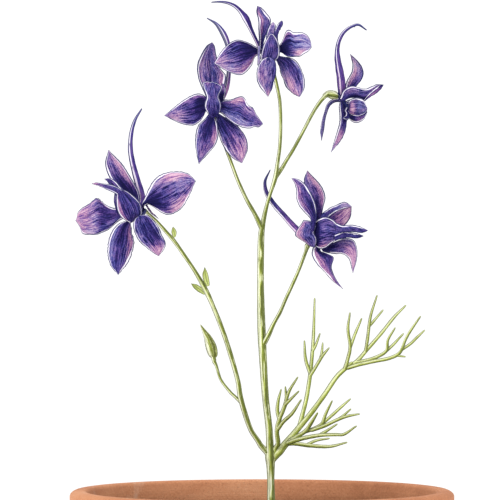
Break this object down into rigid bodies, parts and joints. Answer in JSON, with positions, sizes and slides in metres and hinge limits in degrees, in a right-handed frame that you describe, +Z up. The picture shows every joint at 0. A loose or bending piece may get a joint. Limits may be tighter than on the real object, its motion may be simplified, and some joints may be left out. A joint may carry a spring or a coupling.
{
  "type": "potted larkspur",
  "caption": "Larkspur plant with spurred violet flowers, a bud and a finely divided leaf on thin branching stems, growing in a plain tapered terracotta pot.",
  "frame": {"origin": "centre of the pot base, on the surface the pot stands on", "axes": "+Z up along the stem, -Y towards the viewer of the picture, +X to the viewer's right"},
  "size_m": [0.1, 0.1, 0.2156],
  "materials": {
    "sepal": "satin",
    "petal": "satin",
    "stamen": "matte",
    "stem": "satin",
    "leaf": "satin",
    "bud": "satin",
    "terracotta": "matte",
    "compost": "matte"
  },
  "bodies": {
    "root": {"flower_a_upper_sepal": "sepal", "flower_a_left_sepal": "sepal", "flower_a_right_sepal": "sepal", "flower_a_lower_left_sepal": "sepal", "flower_a_lower_right_sepal": "sepal", "flower_a_petals": "petal", "flower_a_stamens": "stamen", "flower_b_upper_sepal": "sepal", "flower_b_left_sepal": "sepal", "flower_b_right_sepal": "sepal", "flower_b_lower_left_sepal": "sepal", "flower_b_lower_right_sepal": "sepal", "flower_b_petals": "petal", "flower_b_stamens": "stamen", "flower_c_upper_sepal": "sepal", "flower_c_left_sepal": "sepal", "flower_c_right_sepal": "sepal", "flower_c_lower_left_sepal": "sepal", "flower_c_lower_right_sepal": "sepal", "flower_c_petals": "petal", "flower_c_stamens": "stamen", "flower_d_upper_sepal": "sepal", "flower_d_left_sepal": "sepal", "flower_d_right_sepal": "sepal", "flower_d_lower_left_sepal": "sepal", "flower_d_lower_right_sepal": "sepal", "flower_d_petals": "petal", "flower_d_stamens": "stamen", "flower_e_upper_sepal": "sepal", "flower_e_left_sepal": "sepal", "flower_e_right_sepal": "sepal", "flower_e_lower_left_sepal": "sepal", "flower_e_lower_right_sepal": "sepal", "flower_e_petals": "petal", "flower_e_stamens": "stamen", "main_stem": "stem", "branch_a": "stem", "branch_b": "stem", "branch_d": "stem", "branch_e": "stem", "bud_stalk": "stem", "bud": "bud", "bract_top": "leaf", "bract_right": "leaf", "bract_left": "leaf", "leaf": "leaf", "pot": "terracotta", "compost": "compost"}
  },
  "joints": []
}
